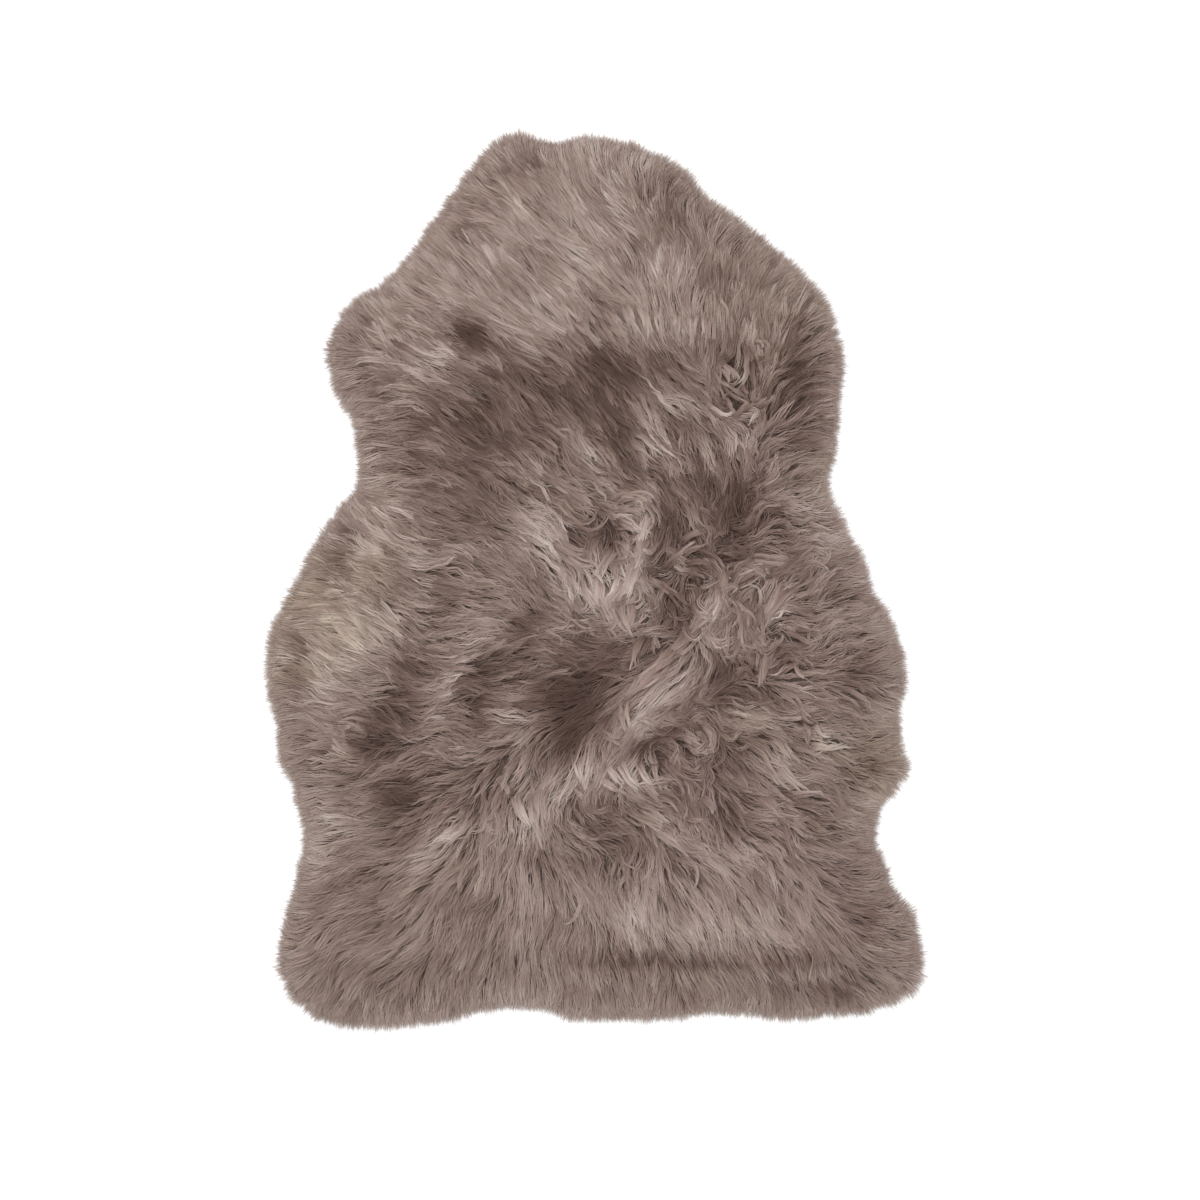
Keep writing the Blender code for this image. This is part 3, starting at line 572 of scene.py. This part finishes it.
def combed_angle(places, toward):
    """The comb's heading at each place, on the side that toward points to."""
    angle = 0.5 * np.arctan2(at(twice_y, places), at(twice_x, places))
    other_way = np.cos(angle) * toward[:, 0] + np.sin(angle) * toward[:, 1] < 0
    return np.where(other_way, angle + math.pi, angle)


def combed_or_out(places, rimward):
    """The comb's heading at each place, pointing out over the rim where the place is rimward."""
    toward = np.column_stack([at(once_x, places), at(once_y, places)])
    toward[rimward] = off_pelt(places)[rimward]
    return combed_angle(places, toward)


def between(places, low, high):
    """Which of the places lie in this stretch of the pelt, from the tail to the neck."""
    return (places[:, 1] >= low) & (places[:, 1] < high)


def steps_out(levels):
    """How far along a wisp its levels lie: closer together towards the tip, where the wool shows."""
    return 1.0 - (1.0 - np.linspace(0.0, 1.0, levels + 1)) ** TIP_CROWDING


def run_out(places, angle, lengths, hook, turn, lift, levels):
    """The middle line of each wisp: out of the wool at its root, up to the top and along with the comb."""
    lines = np.empty((len(places), levels + 1, 3))
    smooth = at(sleekness, places)
    wave_at = 2 * math.pi * at(ripple, places) + rng.normal(0.0, 0.6, len(places))
    wave = np.radians(rng.uniform(10.0, 32.0, len(places))) * (1.0 - 0.7 * smooth)
    place = places.copy()
    shares = steps_out(levels)
    for level, share in enumerate(shares):
        flow = 0.5 * np.arctan2(at(twice_y, place), at(twice_x, place))
        angle = angle + (flow - angle + math.pi / 2) % math.pi - math.pi / 2
        hooked = max(share - HOOK_FROM, 0.0) / (1.0 - HOOK_FROM)
        heading = angle + at(swirl, place) + turn + wave * np.sin(WAVES * share + wave_at) + hook * hooked
        rise = -ROOT_DEPTH * (1.0 - min(share / ROOT_SHARE, 1.0)) ** 1.5
        dip = -0.0026 * smooth * max(share - 0.6, 0.0) ** 2 / 0.16
        over = np.minimum(np.abs(hook), 2.0) * 0.0020 * math.sin(math.pi * hooked)
        stand = lift * (1.0 - 0.5 * smooth) + over
        lines[:, level, :2] = place
        lines[:, level, 2] = np.maximum(at(wool_top, place) + rise + dip + stand, 0.0014)
        onward = shares[min(level + 1, levels)] - share
        place = place + np.column_stack([np.cos(heading), np.sin(heading)]) * (lengths * onward)[:, None]
    return lines


def trim(lines, slack):
    """The lines cut off where they would pass the wool's reach at the rim."""
    room = at(to_rim, lines) + at(tuft, lines) + slack[:, None]
    levels = lines.shape[1] - 1
    row = np.arange(len(lines))
    past = np.argmax(room < 0, axis=1)
    before = np.maximum(past - 1, 0)
    kept = (before + room[row, before] / (room[row, before] - room[row, past] + 1e-9)) / levels
    share = np.linspace(0.0, 1.0, levels + 1)[None, :] * np.where(past > 0, kept, 1.0)[:, None]
    step = np.minimum((share * levels).astype(int), levels - 1)
    part = (share * levels - step)[:, :, None]
    return lines[row[:, None], step] * (1 - part) + lines[row[:, None], step + 1] * part


def spin_fibres(lines, fibres, root_radius, tip_radius, shortest, width, stray):
    """Flat tapering fibres round each line: their points, normals, how far along each point is, the line
    of each fibre, and how far it lies to the side of that line."""
    levels = lines.shape[1] - 1
    line = np.repeat(np.arange(len(lines)), fibres)
    count = len(line)
    aside = rng.uniform(-1.0, 1.0, count)[:, None]
    above = rng.uniform(-0.5, 1.0, count)[:, None] * np.sqrt(1.0 - aside**2)
    stretch = rng.uniform(shortest[line], 1.10)[:, None]
    reached = np.linspace(0.0, 1.0, levels + 1)[None, :] * stretch
    step = np.minimum((reached * levels).astype(int), levels - 1)
    part = (reached * levels - step)[:, :, None]
    share = 1.0 - np.clip(1.0 - reached, 0.0, 1.0) ** TIP_CROWDING
    row = np.arange(count)[:, None]
    middle = lines[line][row, step] * (1 - part) + lines[line][row, step + 1] * part
    forward = lines[line][row, step + 1] - lines[line][row, step]
    forward /= np.linalg.norm(forward, axis=2, keepdims=True) + 1e-12
    side = np.stack([-forward[:, :, 1], forward[:, :, 0], np.zeros((count, levels + 1))], axis=2)
    side /= np.linalg.norm(side, axis=2, keepdims=True) + 1e-12
    up = np.cross(forward, side)
    radius = root_radius + (tip_radius[line][:, None] - root_radius) * share
    crimp = rng.uniform(0.0001, 0.0006, count)[:, None] * np.sin(
        rng.uniform(5.0, 12.0, count)[:, None] * share + rng.uniform(0.0, 6.3, count)[:, None]
    )
    off = aside * radius + crimp + stray[line][:, None] * rng.normal(0.0, 1.0, count)[:, None] * share**2
    raise_by = above * radius * 0.35 + (1.0 - aside**2) * 0.0008
    centre = middle + side * off[:, :, None] + up * raise_by[:, :, None]
    roll = rng.normal(0.0, 0.35, count)[:, None, None] - aside[:, :, None] * 0.30
    broad = side * np.cos(roll) + up * np.sin(roll)
    facing = up * np.cos(roll) - side * np.sin(roll)
    taper = np.sqrt(np.clip(1.0 - (reached / stretch) ** 3, 0.0, 1.0)) * (0.85 + 0.15 * share)
    half = 0.5 * width * rng.uniform(0.75, 1.25, count)[:, None] * taper
    left = centre + broad * half[:, :, None]
    right = centre - broad * half[:, :, None]
    points = np.empty((count, 2 * levels + 1, 3))
    points[:, 0:-1:2], points[:, 1:-1:2], points[:, -1] = left[:, :-1], right[:, :-1], centre[:, -1]
    points[:, :, 2] = np.maximum(points[:, :, 2], 0.0006)
    coat = np.stack([-at(slope_x, points), -at(slope_y, points), np.ones(points.shape[:2])], axis=2)
    coat /= np.linalg.norm(coat, axis=2, keepdims=True)
    normals = np.empty_like(points)
    normals[:, 0:-1:2] = facing[:, :-1] + broad[:, :-1] * ROUNDNESS
    normals[:, 1:-1:2] = facing[:, :-1] - broad[:, :-1] * ROUNDNESS
    normals[:, -1] = facing[:, -1]
    normals = normals * (1.0 - COAT_SHARE) + coat * COAT_SHARE
    normals /= np.linalg.norm(normals, axis=2, keepdims=True)
    along = np.empty(points.shape[:2])
    along[:, 0:-1:2], along[:, 1:-1:2], along[:, -1] = share[:, :-1], share[:, :-1], share[:, -1]
    return points, normals, along, line, aside[:, 0] ** 2


def own_tone_and_painted_shade(tone, tinge, aside):
    """The tone and tinge of each fibre: its wisp's, a little its own, and with painted shade at the wisp's
    sides.
    """
    tone = tone + rng.normal(0.0, 0.030, len(aside)) + 0.03 - 0.09 * aside
    return tone, tinge + rng.normal(0.0, 0.06, len(aside))


WISP_PITCH = 0.00715
WISP_SETBACK = 0.010
RIM_BAND = 0.052
WOOL_LENGTH = 0.046
wisps = scatter(WISP_PITCH, WISP_SETBACK)
rimward = at(to_rim, wisps) + rng.normal(0.0, 0.012, len(wisps)) < RIM_BAND
start_angle = combed_or_out(wisps, rimward)


def lain(places, angle, share):
    """Where this share of each wisp comes to lie."""
    return places + share * WOOL_LENGTH * np.column_stack([np.cos(angle), np.sin(angle)])


# Where the comb parts, the wool would lie thin, so more wisps stand there and lean both ways.
PARTING_PITCH = 0.0056
THIN_BELOW = 0.66
cover = np.zeros(plan_x.shape)
for share in (0.4, 0.6, 0.8):
    column, row = ((lain(wisps, start_angle, share) - (plan_x[0, 0], plan_y[0, 0])) / CELL).astype(int).T
    np.add.at(cover, (row, column), 1.0)
cover = soften(cover, 6)
thin = scatter(PARTING_PITCH, 0.024)
thin = thin[at(cover, thin) < THIN_BELOW * np.median(cover[to_rim > 0.03])]
thin_angle = combed_angle(thin, rng.normal(size=thin.shape))
wisps = np.concatenate([wisps, lain(thin, thin_angle, -0.5)])
start_angle = np.concatenate([start_angle, thin_angle])
inland = at(to_rim, wisps)
outs = off_pelt(wisps)
thin_outs = outs[-len(thin):]
leaning_out = np.cos(thin_angle) * thin_outs[:, 0] + np.sin(thin_angle) * thin_outs[:, 1] > 0
rimward = np.concatenate([rimward, leaning_out & (inland[-len(thin):] < 0.065)])

# Each wisp belongs to the lock whose middle is nearest. A lock's wisps turn, lift and curl together.
LOCK_PITCH = 0.019
CURL_PITCH = 0.014
TRESS_PITCH = 0.011
locks = scatter(LOCK_PITCH, 0.0)
curl_locks = scatter(CURL_PITCH, 0.0)
tresses = scatter(TRESS_PITCH, 0.0)
curly = at(curling, wisps) > 0.38


def nearest(places, middles):
    """Which of the middles each place is nearest to."""
    return np.array([np.argmin(((middles - place) ** 2).sum(axis=1)) for place in places])


def off_middle(places, middles, angle):
    """How far each place lies to the left of its middle, looking along the wool."""
    apart = places - middles
    return apart[:, 1] * np.cos(angle) - apart[:, 0] * np.sin(angle)


lock_of = np.where(curly, len(locks) + nearest(wisps, curl_locks), nearest(wisps, locks))
middles = np.concatenate([locks, curl_locks])
lock_turn = np.radians(rng.normal(0.0, 8.0, len(middles)))
lock_tone = rng.normal(0.0, 0.035, len(middles))
lock_lift = rng.normal(0.0, 0.0014, len(middles))
lock_length = rng.uniform(0.85, 1.12, len(middles))
lock_curled = (np.arange(len(middles)) >= len(locks)) & (rng.uniform(size=len(middles)) < 0.45)
lock_hook = rng.choice([-1.0, 1.0], len(middles)) * np.radians(rng.uniform(60.0, 140.0, len(middles)))
lock_hook = np.where(lock_curled, lock_hook, 0.0)
tress_of = nearest(wisps, tresses)
tress_tone = rng.normal(0.0, 0.070, len(tresses))
tress_lift = rng.normal(0.0, 0.0014, len(tresses))

smooth = at(sleekness, wisps)
ruffled = at(tousling, wisps)
aside = off_middle(wisps, middles[lock_of], start_angle)
tress_aside = off_middle(wisps, tresses[tress_of], start_angle)
draw_in = np.where(curly, 0.5, 0.4 - 0.3 * smooth)
lengths = WOOL_LENGTH * rng.uniform(0.80, 1.12, len(wisps)) * lock_length[lock_of] * (1.0 + 0.15 * smooth)
turn = lock_turn[lock_of] * (1.0 - 0.4 * smooth) + np.radians(rng.normal(0.0, 4.5, len(wisps)))
turn = turn - (draw_in * aside + 0.35 * tress_aside) / lengths
lift = lock_lift[lock_of] + tress_lift[tress_of] + rng.normal(0.0, 0.0008, len(wisps))
lift = lift - 0.0015 * at(curling, wisps)
hook = lock_hook[lock_of] + np.radians(rng.normal(0.0, np.where(curly, 9.0, 16.0 + 16.0 * ruffled)))
tip_reach = inland + 0.0045 + at(tuft, wisps + outs * inland[:, None]) + rng.normal(0.0, 0.0012, len(wisps))
short = rimward & (tip_reach < lengths * 1.25)
lengths = np.where(short, np.maximum(tip_reach, 0.010), lengths)
turn = np.where(short, turn * 0.4, turn)
tip_radius = rng.uniform(0.0007, 0.0024, len(wisps)) + 0.0016 * smooth + 0.0008 * curly
tip_radius = np.where(short, 0.0040, tip_radius)
shortest = np.where(short, 0.62, 0.58)
stray = np.where(short, 0.0018, 0.0008)
astray = rng.normal(0.0, 0.005, wisps.shape)
# The wool is more even towards the tail than at the neck.
evenness = np.interp(wisps[:, 1], (-0.30, 0.15), (0.72, 1.25))
wisp_tone = (lock_tone[lock_of] + tress_tone[tress_of] + rng.normal(0.0, 0.055, len(wisps))) * evenness
wisp_tinge = rng.normal(0.0, 0.10, len(wisps))
straight = (smooth > 0.5) | short
hooked_over = np.abs(hook) >= 0.8
WISP_KINDS = (
    # which wisps, levels, fibres, width of a fibre
    (~hooked_over & straight, 3, 10, 0.00072),
    (~hooked_over & ~straight, 5, 8, 0.00076),
    (hooked_over, 8, 9, 0.00078),
)


def spin_wisps(low, high):
    """The wisps of this stretch of the pelt, as batches of fibres."""
    batches = []
    for kind, levels, fibres, width in WISP_KINDS:
        here = between(wisps, low, high) & kind
        if here.any():
            grown = (wisps, start_angle, lengths, hook, turn, lift)
            lines = run_out(*(values[here] for values in grown), levels)
            lines = trim(lines, 0.004 + rng.normal(0.0, 0.001, len(lines)))
            points, normals, along, line, aside = spin_fibres(
                lines, fibres, 0.0036, tip_radius[here], shortest[here], width, stray[here]
            )
            tone, tinge = own_tone_and_painted_shade(wisp_tone[here][line], wisp_tinge[here][line], aside)
            batches.append((points, normals, dye(points, along, tone, tinge, astray[here][line])))
    return batches


# ------------------------------------------------------------------ the loose hairs
# Single long hairs of wool that came loose from their wisps and lie over them, finer than the rest.
# They grow from the skin as the others do.
HAIR_PITCH = 0.0041
hairs = scatter(HAIR_PITCH, 0.010)
hairs = hairs[rng.uniform(size=len(hairs)) < 0.5]
hair_inland = at(to_rim, hairs)
hair_rimward = hair_inland + rng.normal(0.0, 0.010, len(hairs)) < 0.050
hair_angle = combed_or_out(hairs, hair_rimward)
hair_length = rng.uniform(0.018, 0.040, len(hairs))
hair_reach = hair_inland + at(tuft, hairs + off_pelt(hairs) * hair_inland[:, None])
hair_reach = np.maximum(hair_reach + rng.normal(0.004, 0.003, len(hairs)), 0.008)
hair_length = np.where(hair_rimward & (hair_reach < hair_length * 1.3), hair_reach, hair_length)


def spin_singly(lines, width, stray, tone_spread):
    """One fine fibre along each line, each of its own tone and tinge."""
    every = np.ones(len(lines))
    points, normals, along, line, _ = spin_fibres(
        lines, 1, 0.0004, 0.0004 * every, 0.9 * every, width, stray * every
    )
    tone = rng.normal(0.02, tone_spread, len(line))
    tinge = rng.normal(0.0, 0.10, len(line))
    return points, normals, dye(points, along, tone, tinge, rng.normal(0.0, 0.007, (len(line), 2)))


def spin_hairs(low, high):
    """The loose hairs of this stretch of the pelt."""
    here = between(hairs, low, high)
    turn = np.radians(rng.normal(0.0, 8.0, here.sum()))
    lift = rng.uniform(0.0, 0.0022, here.sum())
    lines = run_out(hairs[here], hair_angle[here], hair_length[here], 0 * turn, turn, lift, 3)
    lines = trim(lines, 0.005 + rng.normal(0.0, 0.002, len(lines)))
    return [spin_singly(lines, 0.00060, 0.001, 0.055)]


# ------------------------------------------------------------------ the fringe
# At the rim fine single hairs of the same wool reach out past the wisps, fewer and fewer, so that the
# edge is soft. They grow near the edge and lie close to the floor.
FRINGE_PITCH = 0.0017
fringe = scatter(FRINGE_PITCH, 0.003, 0.017)
fringe_inland = at(to_rim, fringe)
fringe_outs = off_pelt(fringe)
fringe_angle = combed_angle(fringe, fringe_outs)
fringe_length = fringe_inland + at(tuft, fringe + fringe_outs * fringe_inland[:, None])
fringe_length = fringe_length + rng.triangular(-0.004, 0.001, 0.013, len(fringe))


def spin_fringe(low, high):
    """The fringe of this stretch of the rim."""
    here = between(fringe, low, high)
    turn = np.radians(rng.normal(0.0, 9.0, here.sum()))
    lines = run_out(fringe[here], fringe_angle[here], fringe_length[here], 0 * turn, turn, 0 * turn, 2)
    lines[:, :, 2] = np.maximum(lines[:, :, 2], rng.uniform(0.001, 0.006, (len(turn), 1)))
    return [spin_singly(lines, 0.00045, 0.0008, 0.06)]


# ------------------------------------------------------------------ the styled locks
# The locks that curl or sweep over the rest where the pelt's wool is long and loose, each placed as it
# lies. They are of the same wool, and rise from their roots in a low arch and come down at the tip.
STYLED = (
    # x_mm, y_mm at the root, heading_deg, bend_deg to the tip, length_mm, width_mm, lighter
    (-34, 68, -52, 150, 62, 9, 10), (-42, 44, -50, 70, 52, 10, 10), (-34, 28, -48, 62, 42, 8, 6),
    (-44, 100, -38, 12, 50, 9, 8), (-28, 90, -28, -6, 34, 7, 12), (0, 98, 12, -100, 32, 9, 10),
    (14, 76, 50, -90, 30, 8, 10), (16, 74, 34, -120, 56, 12, 12), (18, 70, 5, -35, 34, 8, 8),
    (18, 62, -25, -20, 28, 7, 6), (22, 52, -10, 10, 16, 5, 8), (44, 84, -35, -70, 40, 10, 8),
    (56, 66, -118, 22, 46, 14, 12), (50, 48, -100, -12, 56, 16, 12), (58, 50, -95, 10, 30, 9, 6),
    (42, 24, -102, -30, 58, 16, 10), (30, 8, -112, -40, 52, 15, 10), (16, 36, 14, -115, 26, 6, 14),
    (22, 32, -128, 28, 34, 12, 6), (2, 4, -88, 6, 40, 12, 8), (60, -2, -28, -40, 40, 9, 14),
    (78, -14, -10, -110, 26, 6, 14), (72, -8, -60, 10, 26, 6, 10), (66, 6, 52, -40, 50, 9, 6),
    (80, 34, 38, -28, 38, 8, 8), (82, 22, 30, -14, 40, 8, 6), (84, 86, -52, -52, 42, 8, 6),
    (96, 84, -70, -25, 34, 7, 4), (-40, 84, -48, 8, 50, 10, 6), (-14, 0, -62, 8, 44, 12, 10),
    (-2, -6, -68, 16, 48, 12, 12), (12, -10, -76, 24, 48, 12, 14), (26, -16, -84, 30, 44, 12, 12),
    (38, -24, -94, -10, 34, 10, 8), (-30, -32, -50, 70, 40, 7, 10), (52, -50, -118, 22, 40, 7, 10),
    (44, -56, -112, 40, 34, 5, 12), (8, -48, -16, -70, 20, 4, 10), (102, 29, -6, -70, 40, 9, 8),
    (120, 18, -62, -48, 46, 12, 8), (127, -4, -98, -30, 46, 13, 8), (119, -20, -124, -8, 58, 18, 10),
    (106, -42, -130, -8, 60, 20, 12), (90, -62, -136, -6, 60, 20, 10), (72, -84, -140, -8, 60, 20, 8),
    (86, 14, 28, -75, 32, 9, 12), (84, 6, 18, -60, 28, 7, 6), (72, -20, -58, -45, 42, 6, 10),
    (78, -26, -50, -20, 26, 5, 8), (142, -18, -84, 12, 58, 12, 8), (152, -18, -92, -6, 44, 9, 12),
    (134, -32, -100, 12, 44, 9, 4), (121, -44, -88, 42, 50, 6, 10), (198, -4, -128, 12, 66, 12, 8),
    (188, -2, -122, 10, 60, 10, 6), (165, -22, -84, -4, 36, 10, 10), (178, -62, -112, 34, 42, 14, 6),
    (164, -72, -84, -30, 34, 9, 2), (200, -82, -88, 80, 20, 4, 34), (158, -100, 100, 150, 32, 5, 6),
    (150, 24, 0, -4, 50, 8, 4), (152, 18, -4, -2, 50, 8, 4), (30, -122, -96, 40, 34, 14, 2),
    (42, -142, 15, -110, 24, 8, 14), (8, -150, -45, 25, 26, 7, 8), (-18, -178, -75, -5, 34, 10, 14),
    (-2, -178, -105, 5, 34, 10, 14), (10, -182, -58, 12, 30, 9, 10), (24, -180, -68, 28, 44, 9, 14),
    (41, -180, -62, 14, 44, 10, 12), (59, -178, -88, 34, 42, 8, 8), (4, -198, -32, 14, 44, 10, 8),
    (24, -203, -35, 2, 44, 10, 10), (46, -200, -42, -4, 34, 10, 12), (28, -226, -28, 4, 56, 10, 6),
    (46, -228, -22, -12, 40, 9, 6), (104, -216, -20, -75, 30, 7, 8), (88, -236, -15, 30, 28, 6, 12),
    (84, -144, -55, 35, 36, 7, 22), (106, -140, -62, 25, 26, 7, 12), (-20, -209, -20, -95, 14, 3, 14),
    (88, -163, -15, -40, 28, 6, 8), (62, -250, -38, 2, 44, 10, 8), (48, -240, -68, 4, 40, 8, 6),
    (149, 236, -80, -60, 52, 7, 12), (155, 224, -84, -4, 40, 4, 10), (120, 205, -52, 42, 44, 8, 12),
    (144, 196, -62, 30, 16, 4, 8), (120, 214, -10, -90, 30, 14, 8), (162, 222, -78, 22, 26, 6, 10),
    (162, 238, 20, -150, 18, 5, 10), (128, 182, -40, -60, 26, 8, 6), (138, 160, 50, -25, 36, 8, 4),
    (158, 168, 38, -6, 36, 8, 6), (-18, 258, -50, 6, 40, 12, 3), (0, 262, -52, -4, 42, 10, 5),
    (14, 270, -58, 4, 36, 9, 3), (28, 276, -66, -4, 42, 12, 4), (46, 274, -72, -6, 40, 12, 4),
    (62, 272, -80, -4, 38, 12, 4), (80, 270, -86, 0, 36, 12, 4), (97, 268, -90, 4, 38, 10, 4),
    (112, 266, -92, 6, 34, 10, 3), (-34, 248, -44, -4, 34, 10, 2), (131, -133, 8, -45, 24, 8, 16),
    (96, -120, -5, -25, 24, 5, 10), (150, -126, 15, -10, 24, 8, 10), (176, -156, -48, -12, 34, 8, 16),
    (186, -160, -55, 0, 26, 6, 12), (176, -180, -42, 0, 50, 10, 16), (172, -186, -55, 10, 30, 8, 10),
    (203, -122, -72, 50, 28, 4, 12), (188, -130, -10, 20, 20, 4, 10), (219, -140, -80, 130, 24, 3, 8),
    (215, -168, 4, 0, 44, 12, 10), (208, -142, -70, -20, 22, 9, 8), (146, -210, -8, -8, 30, 6, 6),
    (-98, -196, -40, -50, 26, 7, 14), (-78, -214, -75, 20, 44, 12, 7), (-62, -222, -86, 24, 44, 12, 6),
)
STRAND_WIDTH_MM = 2.4
strands = [max(2, round(row[5] / STRAND_WIDTH_MM)) for row in STYLED]
root_x, root_y, heading, bend, reach, breadth, lighter = np.repeat(np.array(STYLED, float), strands, axis=0).T
over = np.concatenate([(np.arange(n) + 0.5) / n - 0.5 for n in strands])
heading = np.radians(heading + rng.normal(0.0, 3.0, len(over)))
bend = np.radians(bend * rng.uniform(0.85, 1.12, len(over)) + rng.normal(0.0, 5.0, len(over)))
reach = reach / 1000 * rng.uniform(0.80, 1.08, len(over)) * (1.0 - 1.2 * over**2)
over = over * breadth / 1000 + rng.normal(0.0, 0.0004, len(over))
started = rng.normal(0.0, 0.0025, len(over))
swept = np.column_stack([
    root_x / 1000 - over * np.sin(heading) + started * np.cos(heading),
    root_y / 1000 + over * np.cos(heading) + started * np.sin(heading),
])
# The side of a lock that faces the lamp is painted lighter: a painted highlight.
painted_lamp_side = (0.6 * np.sin(heading) + 0.8 * np.cos(heading)) * over / (breadth / 2000)
swept_tone = 0.03 + 0.0035 * lighter + 0.05 * painted_lamp_side + rng.normal(0.0, 0.050, len(over))
swept_tinge = rng.normal(0.0, 0.08, len(over))
crown = 1.0 - np.minimum(np.abs(over) / (breadth / 2000), 1.0) ** 2


def sweep(chosen, levels):
    """The middle line of each strand of a styled lock."""
    lines = np.empty((chosen.sum(), levels + 1, 3))
    place = swept[chosen]
    wave_at = rng.uniform(0.0, 6.3, chosen.sum())
    shares = steps_out(levels)
    for level, share in enumerate(shares):
        turned = heading[chosen] + bend[chosen] * share**1.3 - 0.80 * over[chosen] / reach[chosen]
        turned = turned + math.radians(9.0) * np.sin(9.0 * share + wave_at)
        rise = -0.008 * (1.0 - min(share / 0.30, 1.0)) ** 1.5
        arch = 0.0045 * math.sin(math.pi * share**0.8) - 0.0005 * share
        lines[:, level, :2] = place
        lines[:, level, 2] = at(wool_top, place) + rise + arch + 0.0012 * crown[chosen]
        onward = shares[min(level + 1, levels)] - share
        place = place + np.column_stack([np.cos(turned), np.sin(turned)]) * (reach[chosen] * onward)[:, None]
    return lines


def spin_styled(low, high):
    """The styled locks of this stretch of the pelt."""
    here = between(swept, low, high)
    if not here.any():
        return []
    lines = sweep(here, 7)
    tips = rng.uniform(0.0007, 0.0015, len(lines))
    every = np.ones(len(lines))
    points, normals, along, line, aside = spin_fibres(
        lines, 13, 0.0020, tips, 0.58 * every, 0.00072, 0.0006 * every
    )
    tone, tinge = own_tone_and_painted_shade(swept_tone[here][line], swept_tinge[here][line], aside)
    return [(points, normals, dye(points, along, tone, tinge, rng.normal(0.0, 0.004, (len(line), 2))))]


# ------------------------------------------------------------------ the wool, put together
# One coat of wool, in seven stretches from the neck to the tail so that each mesh stays light. Each
# holds its own wisps, styled locks, loose hairs and fringe, and is rooted in the skin.
def gather(name, batches):
    """One piece from batches of fibres, each two points a level and drawn to one at the tip."""
    points, normals, places, faces, sizes, first = [], [], [], [], [], 0
    for batch_points, batch_normals, batch_places in batches:
        count, per = batch_points.shape[:2]
        start = first + np.arange(count)[:, None] * per
        for level in range((per - 1) // 2 - 1):
            faces.append((start + np.array([1, 3, 2, 0]) + 2 * level).ravel())
            sizes.append(np.full(count, 4))
        faces.append((start + np.array([per - 2, per - 1, per - 3])).ravel())
        sizes.append(np.full(count, 3))
        points.append(batch_points.reshape(-1, 3))
        normals.append(batch_normals.reshape(-1, 3))
        places.append(batch_places.reshape(-1, 2))
        first += count * per
    points, normals, places = (np.concatenate(a) for a in (points, normals, places))
    faces, sizes = np.concatenate(faces), np.concatenate(sizes)
    mesh = bpy.data.meshes.new(name)
    mesh.vertices.add(len(points))
    mesh.vertices.foreach_set("co", points.astype(np.float32).ravel())
    mesh.loops.add(len(faces))
    mesh.loops.foreach_set("vertex_index", faces.astype(np.int32))
    mesh.polygons.add(len(sizes))
    mesh.polygons.foreach_set("loop_start", np.concatenate([[0], np.cumsum(sizes)[:-1]]).astype(np.int32))
    mesh.update(calc_edges=True)
    mesh.shade_smooth()
    mesh.uv_layers.new(name="OFBake").uv.foreach_set("vector", places[faces].astype(np.float32).ravel())
    mesh.normals_split_custom_set_from_vertices(normals.astype(np.float32))
    mesh.materials.append(wool_dye)
    piece = bpy.data.objects.new(name, mesh)
    bpy.context.scene.collection.objects.link(piece)
    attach(piece, "root")
    return piece


STRETCHES = (
    # name, y_m from, y_m to
    ("wool_neck", 0.26, 0.50), ("wool_shoulders", 0.13, 0.26), ("wool_back", 0.02, 0.13),
    ("wool_loin", -0.09, 0.02), ("wool_hips", -0.20, -0.09), ("wool_haunches", -0.32, -0.20),
    ("wool_tail", -0.50, -0.32),
)
for name, low, high in STRETCHES:
    batches = spin_wisps(low, high) + spin_styled(low, high) + spin_hairs(low, high) + spin_fringe(low, high)
    gather(name, batches)
